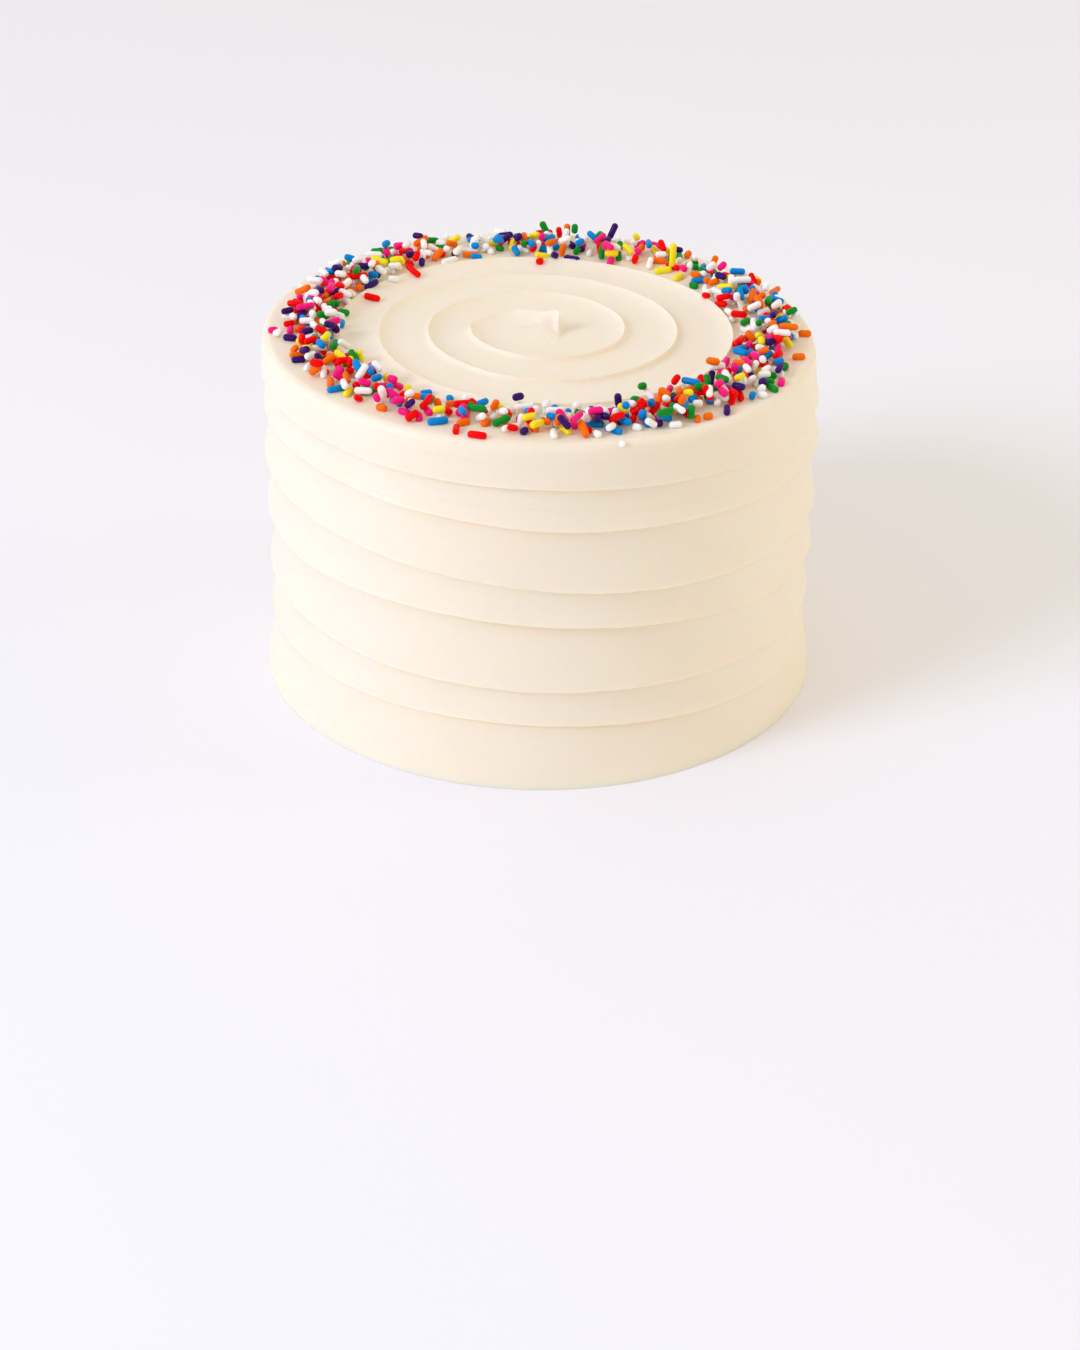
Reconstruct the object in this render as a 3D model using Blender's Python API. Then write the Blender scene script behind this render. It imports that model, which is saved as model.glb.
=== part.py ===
"""A round frosted cake with a wreath of sprinkles, as one closed solid.

The frosting was smoothed on a turntable. A spatula edge left one helix of ridges that winds
down the side, and one spiral ridge on the top that ends in a small lifted peak.
Lengths are in metres, +Z is up and the origin is the middle of the flat base.
The front of the cake faces -Y. Turns are counted anticlockwise seen from above, from the left (-X):
0 is left, 0.25 front, 0.5 right and 0.75 back.
"""
import math
import random

import bmesh
import bpy
from mathutils import Matrix, Vector

MM = 0.001

# Overall form
BASE_RADIUS = 87.0 * MM
HEIGHT = 110.0 * MM
# The rim's circle lies a little to the left of the base's, and the top falls a little to the right
RIM_RADIUS = 83.6 * MM
RIM_SHIFT = Vector((-1.0 * MM, -0.2 * MM, 0.0))
RIM_SHIFT_HEIGHTS = (88.0 * MM, 104.0 * MM)
RIM_ROUNDING = 2.8 * MM
TOP_SLOPE = -0.015
# Outermost radius of the ridges at heights up the side, from the base to the rim
SIDE_HEIGHTS = (0.0, 6.0 * MM, 14.0 * MM, 45.0 * MM, 78.0 * MM, 95.0 * MM, HEIGHT)
SIDE_RADII = (BASE_RADIUS, 85.5 * MM, 84.6 * MM, 84.7 * MM, 84.9 * MM, 84.2 * MM, RIM_RADIUS)

# Side helix: heights of the ridge in mm. Each turn has five across the front, 30 degrees apart,
# with the front in the middle, and the ridge falls evenly round the back.
HELIX_PLACES = (1 / 12, 2 / 12, 3 / 12, 4 / 12, 5 / 12)
HELIX_FRONT = (
    (99.4, 97.9, 96.7, 95.2, 93.1),
    (88.9, 87.2, 84.1, 82.9, 81.0),
    (71.8, 69.3, 65.4, 62.4, 60.9),
    (54.8, 55.6, 53.6, 50.4, 46.4),
    (35.6, 33.2, 32.0, 30.5, 28.8),
    (20.6, 21.0, 20.8, 18.4, 15.5),
)
# Turn and height where the ridge starts under the rim and ends above the base
HELIX_LEAD_IN = ((-0.5, 106.0), (-0.25, 103.5))
HELIX_LEAD_OUT = ((5.75, 8.0), (6.0, 4.0))
# Each band starts deep under the ridge above it and swells out to its own ridge
RIDGE_STEP = 2.0 * MM
RIDGE_MIDDLE = 1.1 * MM
RIDGE_UNDERCUT = 0.7 * MM
RIDGE_FADE_TURNS = 0.35
RIDGE_FADE_HEIGHT = 9.0 * MM
RIDGE_MARGIN = 1.0 * MM

# Top spiral: radii of the ridge in mm at the left, front, right and back of each turn
SPIRAL_RADII = (
    (21.8, 23.7, 24.8, 27.8),
    (34.3, 39.7, 40.7, 42.1),
    (49.0, 56.7, 57.6, 57.2),
    (62.5, 70.0, 72.0, 73.5),
)
SPIRAL_STEP = 1.3 * MM
SPIRAL_STEP_WIDTH = 1.0 * MM
SPIRAL_RISE = 0.5 * MM
SPIRAL_MIDDLE = 0.6
SPIRAL_FADE_RADII = (60.0 * MM, 70.0 * MM)
SPIRAL_MARGIN = 2.0 * MM

# Peak: the ridge inside the first turn, as radius and height above the top, by turn
PEAK_TURNS = (-0.47, -0.36, -0.25, -0.13, -0.07, 0.0)
PEAK_RADII = (5.0 * MM, 4.2 * MM, 4.2 * MM, 7.5 * MM, 13.8 * MM, SPIRAL_RADII[0][0] * MM)
PEAK_HEIGHTS = (5.0 * MM, 4.4 * MM, 3.8 * MM, 3.2 * MM, 2.3 * MM, SPIRAL_RISE)

# The frosting's mesh: columns round the axis, and labels that name the rows of a column
COLUMNS = 60
RIM_STEPS = 2
ROWS_PER_TURN = 3
FIXED_LABEL = 10000
END_LABEL = 20000

# Sprinkles: small rods with rounded ends
SPRINKLE_COUNT = 212
SPRINKLE_RADIUS = 1.0 * MM
SPRINKLE_LENGTHS = (4.2 * MM, 6.4 * MM)
SPRINKLE_END = 0.5 * MM
SPRINKLE_SIDES = 5
SPRINKLE_SINK = 0.45 * MM
SPRINKLE_GAP = 0.3 * MM
WREATH_INNER = 60.0 * MM
WREATH_OUTER = 78.5 * MM
WREATH_MARGIN = 1.0 * MM
# Where the wreath is thin: turn, reach in turns, and how much thinner
WREATH_THIN = ((0.20, 0.05, 0.35), (0.77, 0.04, 0.45))
# Most rods lie almost flat, and the others lean on their lower end
FLAT_SHARE = 0.72
FLAT_TILTS = (0.0, 7.0)
LEANING_TILTS = (12.0, 38.0)
SEED = 11


def clear_scene():
    """Start from an empty scene."""
    for obj in list(bpy.data.objects):
        bpy.data.objects.remove(obj, do_unlink=True)


def smoothstep(low, high, value):
    """0 below low, 1 above high, and a soft ramp between."""
    part = min(max((value - low) / (high - low), 0.0), 1.0)
    return part * part * (3.0 - 2.0 * part)


def along(places, values, place):
    """Value at a place between knots, by a smooth cubic through them."""
    last = len(places) - 1
    if place <= places[0]:
        return values[0]
    if place >= places[last]:
        return values[last]
    i = max(k for k in range(last) if places[k] <= place)
    slopes = []
    for k in (i, i + 1):
        before, after = max(k - 1, 0), min(k + 1, last)
        slopes.append((values[after] - values[before]) / (places[after] - places[before]))
    width = places[i + 1] - places[i]
    s = (place - places[i]) / width
    start = values[i] * (1.0 + 2.0 * s) + slopes[0] * width * s
    end = values[i + 1] * (3.0 - 2.0 * s) - slopes[1] * width * (1.0 - s)
    return start * (1.0 - s) ** 2 + end * s * s


def direction(turn):
    """Unit vector from the axis towards a turn."""
    angle = 2.0 * math.pi * turn
    return Vector((-math.cos(angle), -math.sin(angle), 0.0))


def turn_of(x, y):
    """Turn from 0 to 1 of a place on the cake."""
    return (math.atan2(-y, -x) / (2.0 * math.pi)) % 1.0


def helix_knots():
    """Turns and heights of the points that the side ridge passes through."""
    knots = list(HELIX_LEAD_IN)
    for whole, heights in enumerate(HELIX_FRONT):
        knots += [(whole + place, height) for place, height in zip(HELIX_PLACES, heights)]
    knots += HELIX_LEAD_OUT
    return [turn for turn, _ in knots], [height * MM for _, height in knots]


HELIX_TURNS, HELIX_HEIGHTS = helix_knots()
HELIX_START = HELIX_TURNS[0]
HELIX_END = HELIX_TURNS[-1]


def helix_height(turn):
    """Height of the side ridge."""
    return along(HELIX_TURNS, HELIX_HEIGHTS, turn)


def rim_shift(turn, height):
    """How much further out the side is at a turn because the rim's circle is shifted."""
    return RIM_SHIFT.dot(direction(turn)) * smoothstep(*RIM_SHIFT_HEIGHTS, height)


def rim_radius(turn):
    return RIM_RADIUS + rim_shift(turn, HEIGHT)


def side_radius(turn, height):
    """Radius of a ridge on the side, if it lay at this turn and height."""
    return along(SIDE_HEIGHTS, SIDE_RADII, height) + rim_shift(turn, height)


def ridge_strength(turn):
    """How deep the side step is: it starts at the rim and fades out at the base."""
    start = smoothstep(HELIX_START, HELIX_START + RIDGE_FADE_TURNS, turn)
    return start * smoothstep(0.0, RIDGE_FADE_HEIGHT, helix_height(turn))


def spiral_radius(turn):
    """Radius of the ridge on the top."""
    if turn < 0.0:
        return along(PEAK_TURNS, PEAK_RADII, turn)
    radii = [radius * MM for quarters in SPIRAL_RADII for radius in quarters]
    places = [0.25 * k for k in range(len(radii))]
    beyond = max(turn - places[-1], 0.0) * (radii[-1] - radii[-5])
    return along(places, radii, turn) + beyond


def spiral_strength(radius):
    """The spiral fades out under the wreath."""
    return 1.0 - smoothstep(SPIRAL_FADE_RADII[0], SPIRAL_FADE_RADII[1], radius)


def top_height(x):
    """Height of the top without its ridges."""
    return HEIGHT + TOP_SLOPE * x


def side_rows(fraction):
    """Points down one column of the side, each with the label of its row."""
    out = direction(fraction)
    rows = []
    tangent = top_height(out.x * RIM_RADIUS) - RIM_ROUNDING
    for k in range(math.floor(HELIX_START), math.ceil(HELIX_END) + 1):
        turn = k + fraction
        if not HELIX_START <= turn <= HELIX_END:
            continue
        strength = ridge_strength(turn)
        crest = helix_height(turn)
        above = helix_height(turn - 1.0) if turn - 1.0 >= HELIX_START else tangent
        middle = 0.5 * (above + crest)
        foot = crest - RIDGE_UNDERCUT
        first = ROWS_PER_TURN * k
        rows.append((first, middle, side_radius(fraction, middle) - RIDGE_MIDDLE * strength))
        rows.append((first + 1, crest, side_radius(fraction, crest)))
        rows.append((first + 2, foot, side_radius(fraction, foot) - RIDGE_STEP * strength))
    kept = [row for row in rows if RIDGE_MARGIN < row[1] < tangent - RIDGE_MARGIN]
    kept.append((FIXED_LABEL, 0.0, BASE_RADIUS))
    kept.append((-FIXED_LABEL, tangent, rim_radius(fraction)))
    kept.sort()
    return [(label, out * radius + Vector((0.0, 0.0, height))) for label, height, radius in kept]


def spiral_rows(fraction):
    """Rows of the top's ridges in one column: label, radius and height above the plain top."""
    rows = []
    low = SPIRAL_RISE - SPIRAL_STEP
    for k in range(-1, len(SPIRAL_RADII) + 1):
        turn = k + fraction
        first = ROWS_PER_TURN * k
        crest = spiral_radius(turn)
        rise = along(PEAK_TURNS, PEAK_HEIGHTS, turn) if turn < 0.0 else SPIRAL_RISE * spiral_strength(crest)
        foot = crest + SPIRAL_STEP_WIDTH
        middle = 0.5 * (foot + spiral_radius(turn + 1.0))
        if turn >= PEAK_TURNS[0]:
            rows.append((first, crest, rise))
        rows.append((first + 1, foot, low * spiral_strength(foot)))
        rows.append((first + 2, middle, SPIRAL_MIDDLE * low * spiral_strength(middle)))
    return rows


def top_surface(x, y):
    """Height of the top with its ridges."""
    radius = math.hypot(x, y)
    rows = spiral_rows(turn_of(x, y))
    for (_, inner, inner_rise), (_, outer, outer_rise) in zip(rows, rows[1:]):
        if inner <= radius <= outer:
            part = (radius - inner) / (outer - inner)
            return top_height(x) + inner_rise + part * (outer_rise - inner_rise)
    return top_height(x)


def top_rows(fraction):
    """Points out along one column of the top, from the axis to the rim, each with its label."""
    out = direction(fraction)
    inner_rim = rim_radius(fraction) - RIM_ROUNDING
    kept = [row for row in spiral_rows(fraction) if row[1] < inner_rim - SPIRAL_MARGIN]
    for step in range(RIM_STEPS):
        tilt = 0.5 * math.pi * step / RIM_STEPS
        radius = inner_rim + RIM_ROUNDING * math.sin(tilt)
        kept.append((FIXED_LABEL + step, radius, RIM_ROUNDING * (math.cos(tilt) - 1.0)))
    points = []
    for label, radius, rise in kept:
        place = out * radius
        points.append((label, place + Vector((0.0, 0.0, top_height(place.x) + rise))))
    return points


def zip_columns(mesh, left, right):
    """Fill the strip between two columns, matching rows by their labels."""
    i = j = 0
    if left[0][1] is right[0][1]:
        mesh.faces.new((left[0][1], left[1][1], right[1][1]))
        i = j = 1
    while i < len(left) - 1 or j < len(right) - 1:
        next_left = left[i + 1][0] if i < len(left) - 1 else math.inf
        next_right = right[j + 1][0] if j < len(right) - 1 else math.inf
        if next_left <= next_right:
            mesh.faces.new((left[i][1], left[i + 1][1], right[j][1]))
            i += 1
        else:
            mesh.faces.new((left[i][1], right[j + 1][1], right[j][1]))
            j += 1


def shifted(column):
    """The first column again after a whole turn, where each row is named one turn less."""
    return [(label if abs(label) >= FIXED_LABEL else label - ROWS_PER_TURN, vert) for label, vert in column]


def frosting_mesh():
    """The frosted cake without sprinkles: a loft of columns round the axis."""
    mesh = bmesh.new()
    axis = mesh.verts.new((0.0, 0.0, HEIGHT + SPIRAL_RISE - SPIRAL_STEP))
    tops, sides = [], []
    for c in range(COLUMNS):
        fraction = c / COLUMNS
        top = [(label, mesh.verts.new(point)) for label, point in top_rows(fraction)]
        side = [(label, mesh.verts.new(point)) for label, point in side_rows(fraction)]
        tops.append([(-FIXED_LABEL, axis)] + top + [(END_LABEL, side[0][1])])
        sides.append(side)
    tops.append(shifted(tops[0]))
    sides.append(shifted(sides[0]))
    for c in range(COLUMNS):
        zip_columns(mesh, tops[c], tops[c + 1])
        zip_columns(mesh, sides[c], sides[c + 1])
    mesh.faces.new([column[-1][1] for column in reversed(sides[:COLUMNS])])
    bmesh.ops.triangulate(mesh, faces=mesh.faces[:])
    bmesh.ops.recalc_face_normals(mesh, faces=mesh.faces[:])
    return mesh


def make_material(name, colour, roughness):
    material = bpy.data.materials.new(name)
    material.use_nodes = True
    shader = material.node_tree.nodes["Principled BSDF"]
    shader.inputs["Base Color"].default_value = (*colour, 1.0)
    shader.inputs["Roughness"].default_value = roughness
    shader.inputs["Metallic"].default_value = 0.0
    return material


def add_object(name, mesh, collection):
    data = bpy.data.meshes.new(name)
    mesh.to_mesh(data)
    mesh.free()
    obj = bpy.data.objects.new(name, data)
    collection.objects.link(obj)
    return obj


def segment_distance(a, b, c, d, steps=4):
    """Shortest distance between the segments a-b and c-d, from points along both."""
    first = [a.lerp(b, k / steps) for k in range(steps + 1)]
    second = [c.lerp(d, k / steps) for k in range(steps + 1)]
    return min((p - q).length for p in first for q in second)


def wreath_density(turn):
    """Share of full density: the wreath is thinner at the front left and the middle of the back."""
    return 1.0 - sum(less * math.exp(-((turn - middle) / reach) ** 2) for middle, reach, less in WREATH_THIN)


def sprinkle_axes():
    """End points of the rods' straight axes, spread over the wreath and clear of each other."""
    rng = random.Random(SEED)
    axes = []
    while len(axes) < SPRINKLE_COUNT:
        turn = rng.random()
        radius = rng.triangular(WREATH_INNER, WREATH_OUTER)
        half = 0.5 * rng.uniform(*SPRINKLE_LENGTHS) - SPRINKLE_END
        heading = rng.uniform(0.0, math.pi)
        tilts = FLAT_TILTS if rng.random() < FLAT_SHARE else LEANING_TILTS
        tilt = math.radians(rng.uniform(*tilts))
        if rng.random() > wreath_density(turn):
            continue
        middle = direction(turn) * radius
        along_axis = Vector((
            math.cos(heading) * math.cos(tilt), math.sin(heading) * math.cos(tilt), math.sin(tilt)))
        low, high = middle - half * along_axis, middle + half * along_axis
        rest = top_surface(low.x, low.y) + SPRINKLE_RADIUS - SPRINKLE_SINK
        low.z = rest
        high.z = low.z + 2.0 * half * math.sin(tilt)
        reach = max(math.hypot(end.x, end.y) for end in (low, high))
        if reach > WREATH_OUTER + WREATH_MARGIN:
            continue
        needed = 2.0 * SPRINKLE_RADIUS + SPRINKLE_GAP
        if all(segment_distance(low, high, *other) > needed for other in axes):
            axes.append((low, high))
    return axes


def sprinkle_mesh(low, high):
    """One rod with short pointed ends between two points."""
    mesh = bmesh.new()
    rod = high - low
    turn_to_rod = rod.to_track_quat("Z", "Y").to_matrix().to_4x4()
    bmesh.ops.create_cone(
        mesh, cap_ends=True, segments=SPRINKLE_SIDES, radius1=SPRINKLE_RADIUS,
        radius2=SPRINKLE_RADIUS, depth=rod.length,
        matrix=Matrix.Translation((low + high) / 2.0) @ turn_to_rod)
    caps = [face for face in mesh.faces if len(face.verts) == SPRINKLE_SIDES]
    bmesh.ops.poke(mesh, faces=caps, offset=SPRINKLE_END)
    return mesh


def fuse(body, collection):
    """Join every object of a collection to the body, then remove them."""
    union = body.modifiers.new("fused_sprinkles", "BOOLEAN")
    union.operation = "UNION"
    union.operand_type = "COLLECTION"
    union.collection = collection
    union.solver = "EXACT"
    graph = bpy.context.evaluated_depsgraph_get()
    joined = bpy.data.meshes.new_from_object(body.evaluated_get(graph))
    body.modifiers.clear()
    body.data = joined
    for obj in list(collection.objects):
        bpy.data.objects.remove(obj, do_unlink=True)
    bpy.data.collections.remove(collection)


def main():
    clear_scene()
    cake = bpy.data.collections.new("sprinkle_cake")
    loose = bpy.data.collections.new("loose_sprinkles")
    bpy.context.scene.collection.children.link(cake)
    bpy.context.scene.collection.children.link(loose)
    body = add_object("frosted_cake", frosting_mesh(), cake)
    for k, (low, high) in enumerate(sprinkle_axes()):
        add_object(f"sprinkle_{k + 1}", sprinkle_mesh(low, high), loose)
    fuse(body, loose)
    body.data.materials.clear()
    body.data.materials.append(make_material("frosting", (0.93, 0.87, 0.73), 0.5))


main()
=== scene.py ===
"""The looks of the sprinkle cake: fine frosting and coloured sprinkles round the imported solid.

Lengths are in metres. The front of the cake faces -Y. Turns are counted anticlockwise seen from
above, from the left (-X): 0 is left, 0.25 front, 0.5 right and 0.75 back.
"""
import math
import random

import bpy
import numpy as np
from mathutils import Matrix, Vector
from mathutils.bvhtree import BVHTree


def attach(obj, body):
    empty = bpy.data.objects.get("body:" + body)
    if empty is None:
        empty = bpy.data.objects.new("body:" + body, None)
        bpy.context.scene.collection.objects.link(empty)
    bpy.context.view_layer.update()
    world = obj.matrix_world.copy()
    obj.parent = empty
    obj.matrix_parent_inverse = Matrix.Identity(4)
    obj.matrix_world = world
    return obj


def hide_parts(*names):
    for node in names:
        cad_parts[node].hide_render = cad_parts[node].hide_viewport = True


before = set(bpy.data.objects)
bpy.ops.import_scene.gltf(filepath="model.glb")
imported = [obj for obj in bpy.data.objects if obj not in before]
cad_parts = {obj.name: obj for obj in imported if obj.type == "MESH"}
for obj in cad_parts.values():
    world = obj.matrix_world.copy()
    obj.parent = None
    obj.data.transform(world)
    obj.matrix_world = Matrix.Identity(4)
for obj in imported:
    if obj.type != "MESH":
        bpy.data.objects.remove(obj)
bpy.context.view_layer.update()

MM = 0.001
TAU = 2.0 * math.pi

# Overall form
BASE_RADIUS = 87.0 * MM
HEIGHT = 110.0 * MM
# The rim's circle lies a little to the left of the base's, and the top falls a little to the right
RIM_RADIUS = 83.6 * MM
RIM_SHIFT = (-1.0 * MM, -0.2 * MM)
RIM_SHIFT_HEIGHTS = (88.0 * MM, 104.0 * MM)
RIM_ROUNDING = 2.8 * MM
RIM_STEPS = 8
RIM_GAP = 0.6 * MM
TOP_SLOPE = -0.015
# Outermost radius of the ridges at heights up the side
SIDE_HEIGHTS = np.array([0.0, 6.0, 14.0, 45.0, 78.0, 95.0, 110.0]) * MM
SIDE_RADII = np.array([87.0, 85.5, 84.6, 84.7, 84.9, 84.2, 83.6]) * MM

# Side helix: heights of the ridge in mm, by turn, at these places of each turn
HELIX_START = -0.5
HELIX_PLACES = (1 / 12, 2 / 12, 3 / 12, 4 / 12, 5 / 12)
HELIX_FRONT = (
    (99.4, 97.9, 96.7, 95.2, 93.1),
    (88.9, 87.2, 84.1, 82.9, 81.0),
    (71.8, 69.3, 65.4, 62.4, 60.9),
    (54.8, 55.6, 53.6, 50.4, 46.4),
    (35.6, 33.2, 32.0, 30.5, 28.8),
    (20.6, 21.0, 20.8, 18.4, 15.5),
)
HELIX_LEAD_IN = ((-0.5, 106.0), (-0.25, 103.5))
HELIX_LEAD_OUT = ((5.75, 8.0), (6.0, 4.0))
# Wavers of a hand-held spatula: height, length and seed of each
HELIX_WAVERS = ((0.22 * MM, 23.0 * MM, 1), (0.10 * MM, 6.0 * MM, 2))
# Each band starts under the lip of the ridge above it, and is hollow down to its own ridge
RIDGE_STEP = 0.6 * MM
BAND_HOLLOW = 1.7 * MM
BAND_SKEW = 0.85
WIDE_BAND = 15.0 * MM
RIDGE_BURR = 0.25 * MM
RIDGE_UNDERCUT = 0.45 * MM
# How much the step and the burr vary, and over what length
RIDGE_MEAN, RIDGE_VARIES, RIDGE_LENGTH = 0.9, 0.2, 60.0 * MM
BURR_VARIES, BURR_LENGTH = 0.5, 4.0 * MM
# Rows at the ridge: height above it, and share of the raised burr
BURR_ROWS = (
    (0.95 * MM, 0.0), (0.50 * MM, 0.15), (0.22 * MM, 0.6), (0.05 * MM, 1.0), (-0.10 * MM, 0.75),
)
# They lie at most this share of a narrow band above the ridge: the first row, and the others
BURR_SHARES = (0.4, 0.3)
# The last row: how far it lies under the ridge, and its share of the step
UNDER_RIDGE, UNDER_STEP = 0.22 * MM, 0.7
RIDGE_FADE_TURNS = 0.35
RIDGE_FADE_HEIGHT = 9.0 * MM
# The lip stands open at the front right: middle and reach in turns, and how far it opens
TORN_TURN, TORN_REACH = 3.0 + 0.25 + 6.0 / 360.0, 24.0 / 360.0
TORN_GAP, TORN_DEPTH = 1.5 * MM, 1.0 * MM

# Faint lines on the side: first and last angle from the front in degrees, then in mm the heights
# at the start, the middle and the end, and the depth
CREASES = (
    (-45.0, 56.0, 89.9, 89.3, 82.6, 0.34),
    (-34.0, -4.0, 105.2, 104.6, 103.4, 0.22),
    (9.0, 46.0, 82.0, 79.6, 80.9, 0.30),
    (-40.0, 30.0, 58.9, 58.0, 56.2, 0.10),
    (20.0, 70.0, 75.0, 73.5, 72.0, 0.10),
    (-70.0, -20.0, 44.0, 43.0, 41.5, 0.10),
    (100.0, 190.0, 88.0, 85.5, 83.0, 0.25),
    (150.0, 260.0, 50.0, 47.5, 46.0, 0.22),
)
# Width of such a line, and of the bank above it
CREASE_WIDTH, CREASE_BANK = 0.55 * MM, 0.9 * MM

# Top spiral
# Radii of the ridge in mm at the left, front, right and back of each turn
SPIRAL_RADII = (
    (21.8, 23.7, 24.8, 27.8),
    (34.3, 39.7, 40.7, 42.1),
    (49.0, 56.7, 57.6, 57.2),
    (62.5, 70.0, 72.0, 73.5),
)
# The ridge is a sharp crest between two hollow bands: how high it stands over them, how much of
# that falls away close outside it and further out, and how much rises towards it from inside
SPIRAL_STEP = 2.3 * MM
SPIRAL_RISE = 0.9 * MM
CREST_FALL = ((0.55, 0.45 * MM), (0.45, 4.5 * MM))
CREST_CLIMB, CREST_CLIMB_WIDTH, CREST_CLIMB_POWER = 0.82, 8.0 * MM, 2.2
CREST_LIP_WIDTH = 0.6 * MM
# Rows of a band, as distances outside its inner crest and inside its outer one
BAND_STARTS = np.array([0.10, 0.25, 0.45, 0.75, 1.2, 2.0, 3.2, 5.0]) * MM
BAND_ENDS = np.array([6.0, 4.2, 2.8, 1.7, 0.9, 0.45, 0.18, 0.0]) * MM
BAND_WIDTH = 12.0 * MM
SPIRAL_FADE_RADII = (58.0 * MM, 67.0 * MM)
SPIRAL_START_TURNS = (-0.25, -0.02)
SPIRAL_END = 3.75

# Peak in the middle of the top: the ridge's last half turn, whose flank is gentle towards the
# front (south) and steep towards the back (north)
PEAK_TURNS = (-0.47, -0.36, -0.25, -0.13, -0.07, 0.0)
PEAK_RADII = np.array([5.0, 3.2, 3.3, 7.5, 13.8, 21.8]) * MM
PEAK_HEIGHTS = np.array([6.9, 6.2, 5.4, 4.0, 2.0, 0.0]) * MM
PEAK_SOUTH = np.array([2.2, 3.4, 4.8, 6.2, 7.4, 8.0]) * MM
PEAK_NORTH = np.array([0.8, 0.9, 1.0, 1.1, 1.2, 1.2]) * MM
PEAK_END = 0.5 * MM
PEAK_REACH = 32.0 * MM
PEAK_POINTS = 160
FLANK_FALL, FLANK_POWER = 1.2, 1.1
# Fine streaks that fan out from its foot: place, height, width in radians, start and reach
PEAK_FOOT = (5.4 * MM, -1.0 * MM)
FAN_HEIGHT, FAN_WIDTH, FAN_START, FAN_REACH = 0.22 * MM, 0.22, 1.5 * MM, 3.0 * MM

# Unevenness: fine waves that the spatula dragged, and wide swells; on the top the fine ones start
# outside the middle, and both end at the rim
TOP_DRAG, TOP_SWELL = 0.05 * MM, 0.18 * MM
TOP_DRAG_STARTS = (2.0 * MM, 9.0 * MM)
TOP_WAVES_END = (76.0 * MM, 79.0 * MM)
SIDE_DRAG, SIDE_SWELL = 0.04 * MM, 0.30 * MM
# Their number in a turn, and their length inwards or upwards; the top's swells are as wide as
# long, and start at this place of their pattern
TOP_DRAG_WAVES = (40.0, 2.6 * MM)
TOP_SWELL_SIZE, TOP_SWELL_START = 24.0 * MM, 50.0
SIDE_DRAG_WAVES, SIDE_SWELL_WAVES = (60.0, 1.1 * MM), (24.0, 30.0 * MM)
# They fade out towards the base and towards the rim
SIDE_WAVES_FADE = (4.0 * MM, 6.0 * MM)

# Mesh density
FRONT_TURNS = (0.02, 0.48)
FRONT_COLUMNS = 300
BACK_COLUMNS = 104
SIDE_ROWS = 15
ROWS_A_BAND = SIDE_ROWS + len(BURR_ROWS)
TOP_ROWS = len(BAND_STARTS) + len(BAND_ENDS)
FIRST_LABEL, LAST_LABEL, FIXED_LABEL = -20000, 20000, 10000
# The narrowest band, and a width that counts as none
NARROWEST_BAND = 0.4 * MM
TINY = 0.1 * MM
# Edges that bend by more than this many degrees stay sharp
SHARP_ANGLE = 70.0
# Sizes of the tables of random values behind the waves
LINE_KNOTS, PLANE_KNOTS = 4096, 256

# Sprinkles: their number, without those that have their own places below
SPRINKLE_COUNT = 770
SPRINKLE_RADIUS = 1.05 * MM
# Least, greatest and most frequent length, and least and greatest share of the radius
SPRINKLE_LENGTHS = (2.4 * MM, 6.4 * MM, 3.9 * MM)
SPRINKLE_THICKNESSES = (0.92, 1.06)
# Most that one is bent, in mm
SPRINKLE_BEND = 0.12
SPRINKLE_SIDES = 14
# Its rounded end: rings, as distances from the end and radii, both as shares of its radius
SPRINKLE_END = ((0.0, 0.0), (0.07, 0.38), (0.24, 0.69), (0.54, 0.91), (0.92, 1.0))
SPRINKLE_BULGE = 0.03
SPRINKLE_SINK = 0.25 * MM
# The axis ends this far inside the rounded end, and this far apart two crossing axes touch
AXIS_INSET = 0.45 * SPRINKLE_RADIUS
TOUCH = 1.94 * SPRINKLE_RADIUS
# Each one is tried in several places near its own, spread in turns and in radius
SPRINKLE_TRIES = 5
TRY_SPREAD = (0.012, 2.0 * MM)
# Points on each side of its middle where it may rest on others, and its steepest slope
REST_POINTS = 4
STEEPEST = 0.9
# The frosting's height is looked for from this height downwards
RAY_START = 0.2
# Some stick in the frosting or lean on others: their share and their least and greatest tilt
LEANING_SHARE = 0.28
LEANING_TILTS = (25.0, 80.0)
LEANING_TOP = 6.0 * MM
LEANING_LENGTH = 0.9
LEANING_SINK = 0.3 * SPRINKLE_RADIUS
# Wreath: its inner and outer radius, and how dense it is, by turn
WREATH_TURNS = (0.0, 0.25, 0.5, 0.75, 1.0)
WREATH_INNER = np.array([63.0, 60.6, 60.6, 61.0, 63.0]) * MM
WREATH_OUTER = np.array([76.5, 78.5, 77.0, 79.0, 76.5]) * MM
DENSITY_TURNS = (
    0.0, 0.08, 0.13, 0.20, 0.25, 0.34, 0.42, 0.5, 0.6, 0.68, 0.74, 0.79, 0.85, 0.92, 1.0,
)
DENSITY = (1.2, 1.1, 0.75, 0.65, 1.1, 1.25, 1.0, 1.2, 1.0, 0.9, 1.2, 0.6, 1.1, 1.2, 1.2)
DENSITY_MOST = 1.3
WREATH_SPREAD = 1.5
SEED = 11
# Painted warm shade on the frosting: how strong it is under the wreath, where it stands for the
# sprinkles' shade, and the softness of that area's edges;
# under each ridge of the side, and the share of the band below that it covers; and outside each
# crest of the top, and its width
WREATH_SHADE, WREATH_EDGE = 0.45, 2.0 * MM
SIDE_SHADE, SIDE_SHADE_SHARE = 0.5, 0.25
TOP_SHADE, TOP_SHADE_WIDTH = 0.15, 0.6 * MM
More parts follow.
